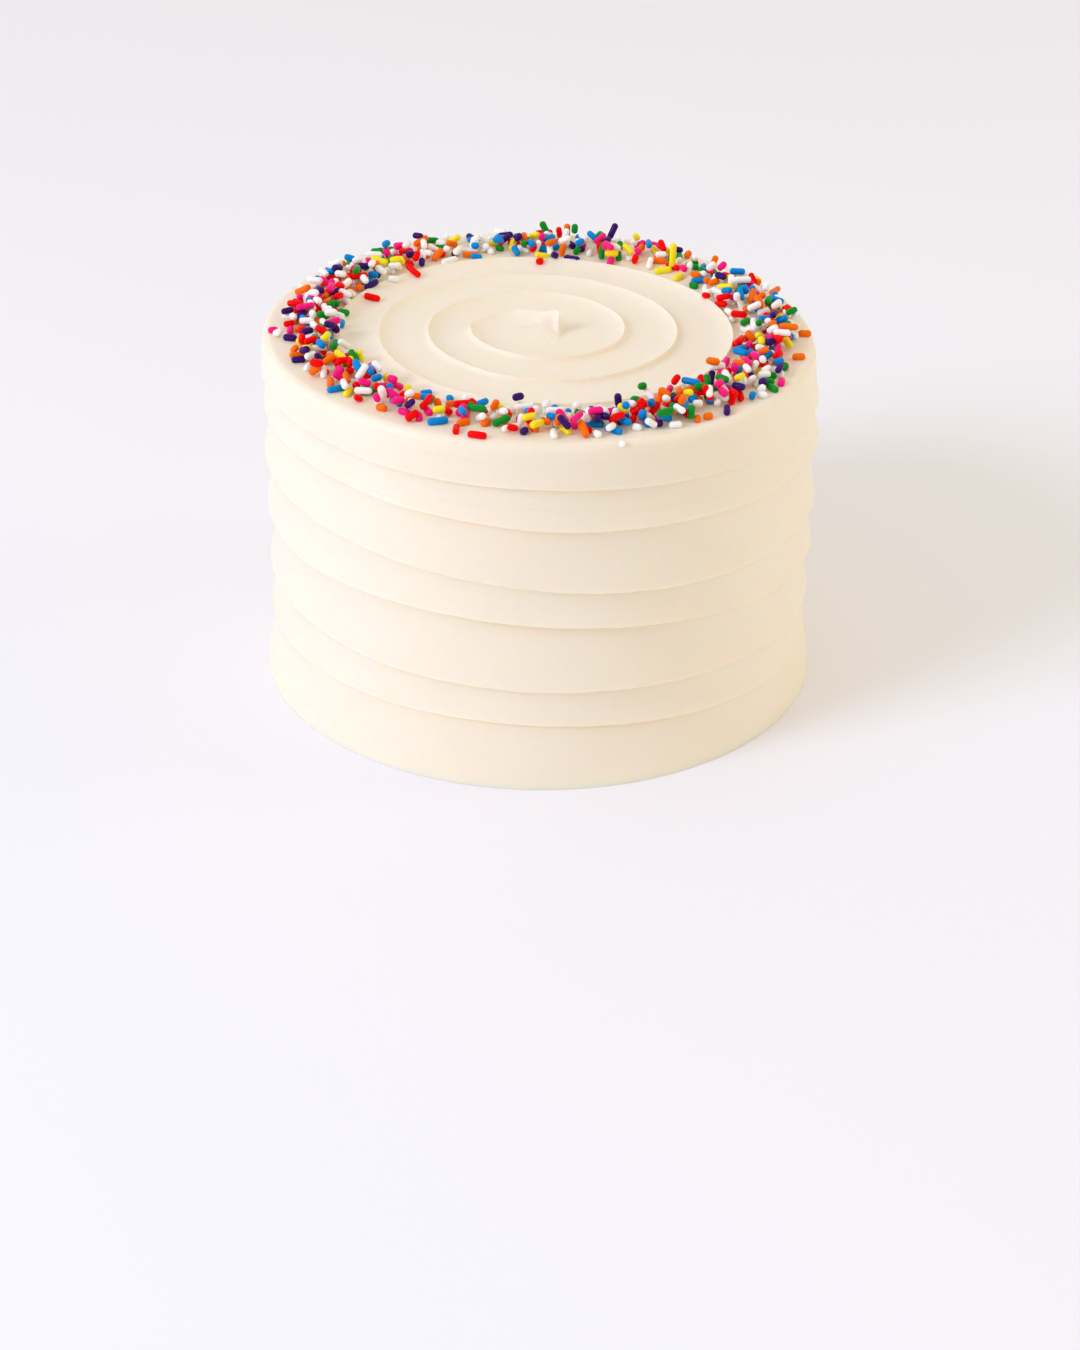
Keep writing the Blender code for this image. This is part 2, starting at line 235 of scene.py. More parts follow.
# Sprinkles that lie apart from the others: colour, place in mm, direction in degrees, length in mm
STRAYS = (
    ("pink", -80.6, -9.0, 12.0, 3.2),
    ("white", 22.5, -79.9, 20.0, 1.9),
    ("purple", -6.6, -59.9, 32.0, 3.6),
    ("purple", 3.6, 57.0, -20.0, 2.6),
    ("red", -1.2, 55.0, 10.0, 2.6),
    ("green", 28.7, -48.9, 35.0, 2.8),
    ("blue", -26.1, -52.9, -50.0, 2.5),
    ("red", -52.9, 21.3, -3.0, 5.2),
    ("blue", 58.3, -23.2, -35.0, 5.2),
    ("pink", 70.7, -33.8, 12.0, 5.6),
    ("orange", 49.3, -38.2, -20.0, 4.2),
    ("red", 55.8, 22.0, 5.0, 4.6),
    ("blue", -9.0, 62.0, -55.0, 4.0),
    ("orange", 47.0, -62.5, 25.0, 2.9),
    ("blue", -22.0, -68.5, -70.0, 3.8),
    ("red", -36.0, -70.0, 15.0, 4.4),
)
# Sprinkles that stand: colour, place in mm, direction and tilt in degrees, length in mm
STANDING = (
    ("green", 1.2, 78.0, 165.0, 62.0, 4.2),
    ("orange", 7.6, 77.5, 90.0, 84.0, 3.4),
    ("purple", 21.6, 76.5, 30.0, 62.0, 4.6),
    ("yellow", 41.2, 52.5, 80.0, 80.0, 7.0),
    ("red", 28.0, -66.0, 90.0, 80.0, 5.6),
)

# Sprinkle colours: share of the sprinkles, then linear colour
SPRINKLE_COLOURS = {
    "white": (0.29, (1.0, 0.95, 0.86)),
    "red": (0.14, (0.95, 0.001, 0.001)),
    "orange": (0.12, (1.0, 0.17, 0.001)),
    "yellow": (0.07, (1.0, 0.82, 0.020)),
    "green": (0.11, (0.006, 0.28, 0.020)),
    "blue": (0.10, (0.001, 0.26, 0.68)),
    "purple": (0.09, (0.045, 0.008, 0.135)),
    "pink": (0.08, (1.0, 0.012, 0.21)),
}

# Frosting colours: two that mix in patches, and a warmer one that is painted in as shade under the
# ridges and the sprinkles
CREAM = ((0.915, 0.790, 0.595), (0.945, 0.830, 0.660))
SHADE_CREAM = (0.90, 0.70, 0.40)
FLOOR_COLOURS = ((0.905, 0.890, 0.895), (0.915, 0.900, 0.905))

# Camera, from the outlines of the cake in the photograph
CAMERA_PLACE = (0.0, -0.7316, 0.4126)
CAMERA_PITCH = 30.08
CAMERA_ROLL = 0.84
CAMERA_YAW = 0.06
CAMERA_LENS = 69.15

# The room is darker towards the front right: its light away from there, and there
DARK_SIDE = (0.60, -0.78, 0.15)
ROOM_LIGHT = (0.84, 0.64)
ROOM_COLOUR = (1.0, 0.955, 0.900, 1.0)
# Soft lamps: place, size, power and colour
LAMPS = {
    "key_light": ((-1.85, -1.15, 1.40), 1.0, 33.5, (0.67, 0.785, 1.17)),
    "fill_light": ((1.5, 0.1, 0.5), 0.8, 4.4, (1.0, 0.92, 0.82)),
}
LAMP_TARGET = (0.0, 0.0, 0.06)
FLOOR_REACH = 3.0


def direction(yaw, tilt):
    """A unit vector, from its turn round the vertical axis and its tilt above the level."""
    level = math.cos(tilt)
    return np.array([math.cos(yaw) * level, math.sin(yaw) * level, math.sin(tilt)])


def soften(part):
    """A value from 0 to 1, made level at both ends."""
    return part * part * (3.0 - 2.0 * part)


def ramp(low, high, value):
    """0 below low, 1 above high, and a soft ramp between."""
    return soften(np.clip((value - low) / (high - low), 0.0, 1.0))


def through(places, values, place):
    """Values at places between knots, by smooth cubics through them."""
    places, values = np.asarray(places, float), np.asarray(values, float)
    place = np.clip(np.asarray(place, float), places[0], places[-1])
    i = np.clip(np.searchsorted(places, place, side="right") - 1, 0, len(places) - 2)
    before, after = np.maximum(i - 1, 0), np.minimum(i + 2, len(places) - 1)
    slope_in = (values[i + 1] - values[before]) / (places[i + 1] - places[before])
    slope_out = (values[after] - values[i]) / (places[after] - places[i])
    width = places[i + 1] - places[i]
    s = (place - places[i]) / width
    start = values[i] * (1.0 + 2.0 * s) + slope_in * width * s
    end = values[i + 1] * (3.0 - 2.0 * s) - slope_out * width * (1.0 - s)
    return start * (1.0 - s) ** 2 + end * s * s


def waves(place, scale, seed):
    """Smooth random waves from -1 to 1 along a line."""
    table = np.random.default_rng(seed).uniform(-1.0, 1.0, LINE_KNOTS)
    x = np.asarray(place, float) / scale
    i = np.floor(x).astype(int)
    s = soften(x - i)
    return table[i % LINE_KNOTS] * (1.0 - s) + table[(i + 1) % LINE_KNOTS] * s


def waves_2d(x, y, seed):
    """Smooth random waves from -1 to 1 over a plane, one unit long."""
    table = np.random.default_rng(seed).uniform(-1.0, 1.0, (PLANE_KNOTS, PLANE_KNOTS))
    i, j = np.floor(x).astype(int), np.floor(y).astype(int)
    s, t = soften(x - i), soften(y - j)
    i, j, k, m = (number % PLANE_KNOTS for number in (i, j, i + 1, j + 1))
    low = table[i, j] * (1.0 - s) + table[k, j] * s
    high = table[i, m] * (1.0 - s) + table[k, m] * s
    return low * (1.0 - t) + high * t


HELIX_KNOTS = list(HELIX_LEAD_IN)
for turn, heights in enumerate(HELIX_FRONT):
    HELIX_KNOTS += [(turn + place, height) for place, height in zip(HELIX_PLACES, heights)]
HELIX_KNOTS += HELIX_LEAD_OUT
HELIX_TURNS = np.array([turn for turn, _ in HELIX_KNOTS])
HELIX_HEIGHTS = np.array([height for _, height in HELIX_KNOTS]) * MM
HELIX_END = HELIX_TURNS[-1]


def helix_height(turn):
    """Height of the side ridge, with the small waver of a hand-held spatula."""
    length = turn * TAU * BASE_RADIUS
    waver = sum(size * waves(length, scale, seed) for size, scale, seed in HELIX_WAVERS)
    return through(HELIX_TURNS, HELIX_HEIGHTS, turn) + waver * ramp(HELIX_START, 0.0, turn)


def rim_shift(fraction, height):
    """How much further out the side is at a turn because the rim's circle is shifted."""
    shift = -np.cos(TAU * fraction) * RIM_SHIFT[0] - np.sin(TAU * fraction) * RIM_SHIFT[1]
    return shift * ramp(*RIM_SHIFT_HEIGHTS, height)


def rim_radius(fraction):
    return RIM_RADIUS + rim_shift(fraction, HEIGHT)


def side_radius(fraction, height):
    """Radius of a ridge on the side, if it lay at this turn and height."""
    return through(SIDE_HEIGHTS, SIDE_RADII, height) + rim_shift(fraction, height)


def ridge_strength(turn):
    """How deep the side step is."""
    start = ramp(HELIX_START, HELIX_START + RIDGE_FADE_TURNS, turn)
    end = ramp(0.0, RIDGE_FADE_HEIGHT, through(HELIX_TURNS, HELIX_HEIGHTS, turn))
    uneven = RIDGE_MEAN + RIDGE_VARIES * waves(turn * TAU * BASE_RADIUS, RIDGE_LENGTH, 3)
    return start * end * uneven


def spiral_radius(turn):
    """Radius of the ridge on the top."""
    turn = np.asarray(turn, float)
    radii = np.array(SPIRAL_RADII).ravel() * MM
    outer = through(0.25 * np.arange(len(radii)), radii, turn)
    return np.where(turn < 0.0, through(PEAK_TURNS, PEAK_RADII, turn), outer)


def spiral_level(radius):
    """Height of the hollow bands, which fade out under the wreath."""
    return (SPIRAL_RISE - SPIRAL_STEP) * (1.0 - ramp(*SPIRAL_FADE_RADII, radius))


def spiral_strength(turn, radius):
    """How high the crest on the top is: it starts at the peak and fades out under the wreath."""
    return ramp(*SPIRAL_START_TURNS, turn) * (1.0 - ramp(*SPIRAL_FADE_RADII, radius))


def top_height(x):
    """Height of the top without its ridges."""
    return HEIGHT + TOP_SLOPE * x


def crest_profile(outside, inside, turn, radius):
    """Height of a band, by the distances outside its inner crest and inside its outer one."""
    fall = sum(share * np.exp(-outside / width) for share, width in CREST_FALL)
    climb = CREST_CLIMB * np.clip(1.0 - inside / CREST_CLIMB_WIDTH, 0.0, 1.0) ** CREST_CLIMB_POWER
    climb += (1.0 - CREST_CLIMB) * np.exp(-inside / CREST_LIP_WIDTH)
    inner, outer = spiral_strength(turn - 1.0, radius), spiral_strength(turn, radius)
    return spiral_level(radius) + SPIRAL_STEP * np.maximum(fall * inner, climb * outer)


def band_depth(top, crest, height, lip, strength):
    """How far a band lies inside the ridges, from under the lip above it to its own crest."""
    part = np.clip((top - height) / np.maximum(top - crest, TINY), 0.0, 1.0)
    hollow = BAND_HOLLOW * np.minimum((top - crest) / WIDE_BAND, 1.0) * strength
    return lip * (1.0 - part) ** 2 + hollow * np.sin(math.pi * part ** BAND_SKEW)


def torn_lip(turn):
    """How far the lip under the ridge stands open, at the front right."""
    return np.clip(1.0 - ((turn - TORN_TURN) / TORN_REACH) ** 2, 0.0, 1.0)


def peak_path():
    """Points along the ridge that ends in the peak: place, height and widths of its two flanks."""
    turn = np.linspace(PEAK_TURNS[0], 0.0, PEAK_POINTS)
    radius = spiral_radius(turn)
    x, y = -np.cos(TAU * turn) * radius, -np.sin(TAU * turn) * radius
    return (x, y, through(PEAK_TURNS, PEAK_HEIGHTS, turn), through(PEAK_TURNS, PEAK_SOUTH, turn),
            through(PEAK_TURNS, PEAK_NORTH, turn))


PEAK = peak_path()


def flank(distance, width):
    """Share of the ridge's height that is left at a distance from it."""
    return np.exp(-((distance / width) ** FLANK_POWER) * FLANK_FALL)


def peak_height(x, y):
    """Height that the ridge to the peak adds at points near the middle of the top."""
    path_x, path_y, height, south, north = PEAK
    away = np.hypot(x[:, None] - path_x[None, :], y[:, None] - path_y[None, :])
    near = away.argmin(1)
    distance = away[np.arange(len(x)), near]
    ahead = np.clip(near + 1, 0, len(path_x) - 1)
    behind = np.clip(near - 1, 0, len(path_x) - 1)
    run_x, run_y = path_x[ahead] - path_x[behind], path_y[ahead] - path_y[behind]
    side = run_x * (y - path_y[near]) - run_y * (x - path_x[near])
    width = np.where(near == 0, PEAK_END, north[near])
    steep = height[near] * flank(distance, width)
    gentle = (height * flank(away, south)).max(1)
    gentle *= np.exp(-np.maximum(x - path_x[0], 0.0) / PEAK_END)
    return np.where(side > 0.0, gentle, steep)


def foot_streaks(x, y):
    """Height of the fine streaks that fan out from the foot of the peak."""
    x, y = x - PEAK_FOOT[0], y - PEAK_FOOT[1]
    away = np.hypot(x, y)
    fan = waves(np.arctan2(y, x) + 10.0, FAN_WIDTH, 12)
    return FAN_HEIGHT * fan * ramp(0.0, FAN_START, away) * np.exp(-away / FAN_REACH)


def columns():
    """Turns of the mesh's columns: closer together at the front half."""
    front = np.linspace(FRONT_TURNS[0], FRONT_TURNS[1], FRONT_COLUMNS, endpoint=False)
    back = np.linspace(FRONT_TURNS[1], 1.0 + FRONT_TURNS[0], BACK_COLUMNS, endpoint=False)
    return np.sort(np.concatenate([front, back % 1.0]))


def row_places(count):
    """Places of a band's rows, closer together at its two edges."""
    u = np.linspace(0.0, 1.0, count)
    return 0.5 * u + 0.5 * soften(u)


def side_rows(fraction, tangent):
    """Rows of the side: (label, which columns have it, radius, height, painted shade)."""
    rows = []
    for k in range(math.floor(HELIX_START), math.ceil(HELIX_END) + 2):
        turn = k + fraction
        has_crest = (turn >= HELIX_START) & (turn <= HELIX_END)
        had_crest = (turn - 1.0 >= HELIX_START) & (turn - 1.0 <= HELIX_END)
        present = has_crest | had_crest
        if not present.any():
            continue
        crest = np.where(has_crest, helix_height(turn), 0.0)
        strength = np.where(has_crest, ridge_strength(turn), 0.0)
        torn = torn_lip(turn - 1.0)
        gap = RIDGE_UNDERCUT + TORN_GAP * torn
        top = np.where(had_crest, helix_height(turn - 1.0) - gap, tangent - RIM_GAP)
        strength_above = np.where(had_crest, ridge_strength(turn - 1.0), 0.0)
        depth_above = (RIDGE_STEP + TORN_DEPTH * torn) * strength_above
        crest = np.maximum(np.minimum(crest, top - NARROWEST_BAND), 0.0)
        weaker = np.minimum(strength, strength_above)
        uneven = 1.0 + BURR_VARIES * waves(turn * TAU * BASE_RADIUS, BURR_LENGTH, 4)
        first = k * ROWS_A_BAND
        last = crest + np.minimum(BURR_ROWS[0][0], BURR_SHARES[0] * (top - crest))
        for i, u in enumerate(row_places(SIDE_ROWS)):
            height = top + (last - top) * u
            depth = band_depth(top, crest, height, depth_above, weaker)
            radius = side_radius(fraction, height) - depth
            # Painted warm shade just under the lip above, fading out down the band
            painted_shade = SIDE_SHADE * max(1.0 - u / SIDE_SHADE_SHARE, 0.0) ** 2
            rows.append((first + i, present, radius, height, painted_shade * strength_above))
        for i, (above, burr) in enumerate(BURR_ROWS[1:]):
            height = crest + np.minimum(above, BURR_SHARES[1] * (top - crest))
            depth = band_depth(top, crest, height, depth_above, weaker)
            radius = side_radius(fraction, height) - depth + strength * RIDGE_BURR * burr * uneven
            rows.append((first + SIDE_ROWS + i, has_crest, radius, height, np.zeros_like(height)))
        # The row just under the ridge carries painted shade where the ridge overhangs it
        under = crest - UNDER_RIDGE
        radius = side_radius(fraction, under) - UNDER_STEP * RIDGE_STEP * strength
        rows.append((first + ROWS_A_BAND - 1, has_crest, radius, under, SIDE_SHADE * strength))
    return rows


def top_rows(fraction):
    """Rows of the top: (label, which columns have it, radius, rise, painted shade)."""
    everywhere = np.ones_like(fraction, bool)
    inner_rim = rim_radius(fraction) - RIM_ROUNDING
    rows = []
    for k in range(-1, math.ceil(SPIRAL_END) + 1):
        turn = k + fraction
        start = spiral_radius(turn - 1.0) if k >= 0 else np.zeros_like(fraction)
        end = np.where(turn <= SPIRAL_END, np.minimum(spiral_radius(turn), inner_rim), inner_rim)
        start = np.minimum(start, end - NARROWEST_BAND)
        scale = np.minimum((end - start) / BAND_WIDTH, 1.0)
        radii = [start + offset * scale for offset in BAND_STARTS]
        radii += [end - offset * scale for offset in BAND_ENDS]
        for i, radius in enumerate(radii):
            rise = crest_profile(radius - start, end - radius, turn, radius)
            # Painted warm shade at the foot of the step outside the inner crest
            painted_shade = np.exp(-(radius - start) / TOP_SHADE_WIDTH)
            painted_shade *= spiral_strength(turn - 1.0, radius)
            present = (radius > TINY) & (turn - 1.0 <= SPIRAL_END)
            rows.append((k * TOP_ROWS + i, present, radius, rise, TOP_SHADE * painted_shade))
    for step in range(1, RIM_STEPS):
        tilt = 0.5 * math.pi * step / RIM_STEPS
        radius = inner_rim + RIM_ROUNDING * math.sin(tilt)
        drop = np.full_like(fraction, RIM_ROUNDING * (math.cos(tilt) - 1.0))
        rows.append((FIXED_LABEL + step, everywhere, radius, drop, np.zeros_like(fraction)))
    return rows


def crease_depth(fraction, height):
    """Depth of the faint lines that the spatula left on the side between the ridges."""
    angle = (fraction - 0.25) * 360.0
    angle = np.where(angle < -90.0, angle + 360.0, angle)
    depth = np.zeros_like(height)
    for start, end, first, middle, last, deep in CREASES:
        part = (angle - start) / (end - start)
        inside = (part > 0.0) & (part < 1.0)
        part = np.clip(part, 0.0, 1.0)
        bend = 4.0 * middle - first - last
        line = (first * (1.0 - part) ** 2 + bend * part * (1.0 - part) + last * part ** 2) * MM
        fade = np.sin(math.pi * part) ** 0.7 * inside
        below = (height - line) / CREASE_WIDTH
        above = (height - line - CREASE_BANK) / CREASE_BANK
        depth += deep * MM * fade * (np.exp(-below ** 2) - 0.5 * np.exp(-above ** 2))
    return depth


def zip_columns(left, right):
    """Faces of the strip between two columns, matching rows by their labels."""
    faces = []
    i = j = 0
    if left[0][1] == right[0][1]:
        faces.append((left[0][1], left[1][1], right[1][1]))
        i = j = 1
    while i < len(left) - 1 or j < len(right) - 1:
        next_left = left[i + 1][0] if i < len(left) - 1 else math.inf
        next_right = right[j + 1][0] if j < len(right) - 1 else math.inf
        if next_left == next_right:
            faces.append((left[i][1], left[i + 1][1], right[j + 1][1], right[j][1]))
            i += 1
            j += 1
        elif next_left < next_right:
            faces.append((left[i][1], left[i + 1][1], right[j][1]))
            i += 1
        else:
            faces.append((left[i][1], right[j + 1][1], right[j][1]))
            j += 1
    return faces


def a_turn_less(column, rows):
    """The same column with its labels as seen from the column before the seam."""
    return [(label if abs(label) >= FIXED_LABEL else label - rows, vertex)
            for label, vertex in column]


def wreath_edges(turn):
    """Inner and outer radius of the wreath."""
    return through(WREATH_TURNS, WREATH_INNER, turn), through(WREATH_TURNS, WREATH_OUTER, turn)


def around(fraction, place, size, seed):
    """Smooth waves round the cake: so many in a turn, and so long along the other direction."""
    number, length = size
    return waves_2d(fraction * number, place / length, seed)


def frosting_points(fraction):
    """Points and painted shade of the frosting, and the labelled points of each column of top and
    side.
    """
    out_x, out_y = -np.cos(TAU * fraction), -np.sin(TAU * fraction)
    axis = HEIGHT + spiral_level(0.0) + peak_height(np.zeros(1), np.zeros(1))[0]
    points, painted_shades = [np.array([[0.0, 0.0, axis]])], [np.zeros(1)]
    count, total = len(fraction), 1
    top, side = [[] for _ in fraction], [[] for _ in fraction]

    def keep(column_lists, label, present, radius, height, painted_shade):
        nonlocal total
        index = np.nonzero(present)[0]
        for number, column in enumerate(index):
            column_lists[column].append((label, total + number))
        points.append(np.stack([out_x * radius, out_y * radius, height], 1)[index])
        painted_shades.append(painted_shade[index])
        total += len(index)

    for label, present, radius, rise, painted_shade in top_rows(fraction):
        x, y = out_x * radius, out_y * radius
        drag = TOP_DRAG * around(fraction, radius, TOP_DRAG_WAVES, 7)
        drag *= ramp(*TOP_DRAG_STARTS, radius)
        across, along = (place / TOP_SWELL_SIZE + TOP_SWELL_START for place in (x, y))
        swell = TOP_SWELL * waves_2d(across, along, 8)
        height = top_height(x) + rise + (drag + swell) * (1.0 - ramp(*TOP_WAVES_END, radius))
        near = radius < PEAK_REACH
        height[near] += peak_height(x[near], y[near]) + foot_streaks(x[near], y[near])
        # Painted warm shade under the wreath, where the sprinkles shade the frosting
        inner, outer = wreath_edges(fraction % 1.0)
        under = ramp(-WREATH_EDGE, WREATH_EDGE, radius - inner)
        under *= 1.0 - ramp(-WREATH_EDGE, WREATH_EDGE, radius - outer)
        keep(top, label, present, radius, height, np.maximum(painted_shade, WREATH_SHADE * under))
    tangent = top_height(out_x * RIM_RADIUS) - RIM_ROUNDING
    for label, present, radius, height, painted_shade in side_rows(fraction, tangent):
        swell = SIDE_SWELL * around(fraction, height, SIDE_SWELL_WAVES, 9)
        drag = SIDE_DRAG * around(fraction, height, SIDE_DRAG_WAVES, 10)
        base, rim = SIDE_WAVES_FADE
        fade = ramp(0.0, base, height) * ramp(0.0, rim, tangent - height)
        radius = radius - crease_depth(fraction, height) + (swell + drag) * fade
        keep(side, label, present, radius, height, painted_shade)
    everywhere, nothing = np.ones(count, bool), np.zeros(count)
    keep(side, -FIXED_LABEL, everywhere, rim_radius(fraction), tangent, nothing)
    keep(side, FIXED_LABEL, everywhere, np.full(count, BASE_RADIUS), nothing, nothing)
    for number in range(count):
        side[number].sort()
        top[number] = [(FIRST_LABEL, 0)] + sorted(top[number]) + [(LAST_LABEL, side[number][0][1])]
    return np.concatenate(points), np.concatenate(painted_shades), top, side


def add_piece(name, points, faces):
    """A new smooth mesh object."""
    mesh = bpy.data.meshes.new(name)
    mesh.from_pydata(points.tolist(), [], faces)
    mesh.shade_smooth()
    piece = bpy.data.objects.new(name, mesh)
    bpy.context.scene.collection.objects.link(piece)
    return piece


def drag_coordinates(points):
    """Coordinates along the spatula's path: direction from the axis, and length from the middle."""
    radius = np.hypot(points[:, 0], points[:, 1])
    safe = np.maximum(radius, 1.0 * MM)
    height = points[:, 2]
    on_top = height > HEIGHT - 2.0 * RIM_ROUNDING
    length = np.where(on_top, radius, RIM_RADIUS + HEIGHT - height)
    return np.stack([points[:, 0] / safe, points[:, 1] / safe, length / MM], 1)


def frosting():
    """The frosting's surface: a loft of columns, whose rows follow the ridges."""
    fraction = columns()
    points, painted_shades, top, side = frosting_points(fraction)
    faces = []
    for number in range(len(fraction)):
        if number + 1 < len(fraction):
            next_top, next_side = top[number + 1], side[number + 1]
        else:
            next_top, next_side = a_turn_less(top[0], TOP_ROWS), a_turn_less(side[0], ROWS_A_BAND)
        faces += zip_columns(top[number], next_top)
        faces += zip_columns(side[number], next_side)
    faces.append([column[-1][1] for column in reversed(side)])
    piece = add_piece("frosting", points, faces)
    mesh = piece.data
    # The painted shade reaches the material as a point attribute
    mesh.attributes.new("painted_shade", "FLOAT", "POINT").data.foreach_set("value", painted_shades)
    drag = mesh.attributes.new("drag", "FLOAT_VECTOR", "POINT")
    drag.data.foreach_set("vector", drag_coordinates(points).ravel())
    mesh.set_sharp_from_angle(angle=math.radians(SHARP_ANGLE))
    return piece


def shader(name):
    """A new material, with its nodes, links and main shader."""
    material = bpy.data.materials.new(name)
    material.use_nodes = True
    tree = material.node_tree
    return material, tree.nodes, tree.links, tree.nodes["Principled BSDF"]


def noise(nodes, links, coordinate, scale, detail=2.0, roughness=0.5, stretch=None):
    """A noise texture at a coordinate, which may be stretched."""
    if stretch:
        mapping = nodes.new("ShaderNodeMapping")
        mapping.inputs["Scale"].default_value = stretch
        links.new(coordinate, mapping.inputs["Vector"])
        coordinate = mapping.outputs["Vector"]
    texture = nodes.new("ShaderNodeTexNoise")
    texture.inputs["Scale"].default_value = scale
    texture.inputs["Detail"].default_value = detail
    texture.inputs["Roughness"].default_value = roughness
    links.new(coordinate, texture.inputs["Vector"])
    return texture.outputs["Fac"]


def mix_colour(nodes, links, factor, low, high):
    """A colour between two, each a colour or a socket."""
    mix = nodes.new("ShaderNodeMix")
    mix.data_type = "RGBA"
    links.new(factor, mix.inputs["Factor"])
    for socket, value in ((mix.inputs[6], low), (mix.inputs[7], high)):
        if isinstance(value, bpy.types.NodeSocket):
            links.new(value, socket)
        else:
            socket.default_value = (*value, 1.0)
    return mix.outputs[2]


def scaled(nodes, links, value, low, high):
    """A value from 0 to 1 brought between two others."""
    scale = nodes.new("ShaderNodeMapRange")
    scale.inputs["To Min"].default_value = low
    scale.inputs["To Max"].default_value = high
    links.new(value, scale.inputs["Value"])
    return scale.outputs["Result"]


def bump(nodes, links, height, distance, strength, below=None):
    """A bump that may lie over another."""
    node = nodes.new("ShaderNodeBump")
    node.inputs["Distance"].default_value = distance
    node.inputs["Strength"].default_value = strength
    links.new(height, node.inputs["Height"])
    if below:
        links.new(below, node.inputs["Normal"])
    return node.outputs["Normal"]


def frosting_material():
    material, nodes, links, main = shader("buttercream")
    drag = nodes.new("ShaderNodeAttribute")
    drag.attribute_name = "drag"
    painted_shade = nodes.new("ShaderNodeAttribute")
    painted_shade.attribute_name = "painted_shade"
    place = nodes.new("ShaderNodeTexCoord").outputs["Object"]
    patches = noise(nodes, links, place, 28.0, detail=3.0)
    cream = mix_colour(nodes, links, patches, *CREAM)
    # Painted shade: the cream turns warmer and darker where the attribute marks shade under the
    # ridges and the sprinkles
    shade_mix = scaled(nodes, links, painted_shade.outputs["Fac"], 0.0, 0.60)
    cream = mix_colour(nodes, links, shade_mix, cream, SHADE_CREAM)
    links.new(cream, main.inputs["Base Color"])
    streaks = noise(nodes, links, drag.outputs["Vector"], 1.0, detail=3.0, roughness=0.6,
                    stretch=(9.0, 9.0, 1.6))
    grain = noise(nodes, links, place, 1300.0, detail=2.0)
    normal = bump(nodes, links, streaks, 0.12 * MM, 0.5)
    normal = bump(nodes, links, grain, 0.05 * MM, 0.35, below=normal)
    links.new(normal, main.inputs["Normal"])
    links.new(scaled(nodes, links, streaks, 0.40, 0.52), main.inputs["Roughness"])
    main.inputs["Subsurface Weight"].default_value = 0.5
    main.inputs["Subsurface Radius"].default_value = (1.0, 0.5, 0.2)
    main.inputs["Subsurface Scale"].default_value = 2.0 * MM
    main.inputs["Specular IOR Level"].default_value = 0.4
    return material


def sprinkle_material(name, colour):
    material, nodes, links, main = shader(name)
    place = nodes.new("ShaderNodeTexCoord").outputs["Object"]
    patches = noise(nodes, links, place, 420.0, detail=2.0)
    dusty = tuple(0.93 * c for c in colour)
    links.new(mix_colour(nodes, links, patches, colour, dusty), main.inputs["Base Color"])
    grain = noise(nodes, links, place, 2200.0, detail=2.0)
    links.new(bump(nodes, links, grain, 0.05 * MM, 0.35), main.inputs["Normal"])
    links.new(scaled(nodes, links, patches, 0.16, 0.26), main.inputs["Roughness"])
    main.inputs["Specular IOR Level"].default_value = 0.08
    if name == "sugar_white":
        main.inputs["Subsurface Weight"].default_value = 0.5
        main.inputs["Subsurface Radius"].default_value = (1.0, 0.7, 0.45)
        main.inputs["Subsurface Scale"].default_value = 1.2 * MM
    return material


def rod(start, end, radius, bend, phase):
    """Points and faces of one sprinkle: a rod with rounded ends, slightly bent and uneven."""
    axis = end - start
    length = np.linalg.norm(axis)
    axis = axis / length
    across = np.cross(axis, (0.0, 0.0, 1.0) if abs(axis[2]) < 0.9 else (1.0, 0.0, 0.0))
    across /= np.linalg.norm(across)
    third = np.cross(axis, across)
    rings = [(along * radius, width) for along, width in SPRINKLE_END]
    rings += [(0.5 * length, 1.0 + SPRINKLE_BULGE * math.sin(phase))]
    rings += [(length - along * radius, width) for along, width in reversed(SPRINKLE_END)]
    angle = np.arange(SPRINKLE_SIDES) * TAU / SPRINKLE_SIDES + phase
    points, faces = [], []
    for along, width in rings:
        middle = start + axis * along + across * bend * math.sin(math.pi * along / length)
        if width == 0.0:
            points.append(middle[None, :])
            continue
        ring = np.outer(np.cos(angle), across) + np.outer(np.sin(angle), third)
        points.append(middle + ring * radius * width)
    sides = SPRINKLE_SIDES
    last = 1 + sides * (len(rings) - 2)
    for number in range(sides):
        after = (number + 1) % sides
        faces.append((0, 1 + after, 1 + number))
        faces.append((last, last - sides + number, last - sides + after))
        for ring in range(len(rings) - 3):
            low, high = 1 + ring * sides, 1 + (ring + 1) * sides
            faces.append((low + number, low + after, high + after, high + number))
    return np.concatenate(points), faces


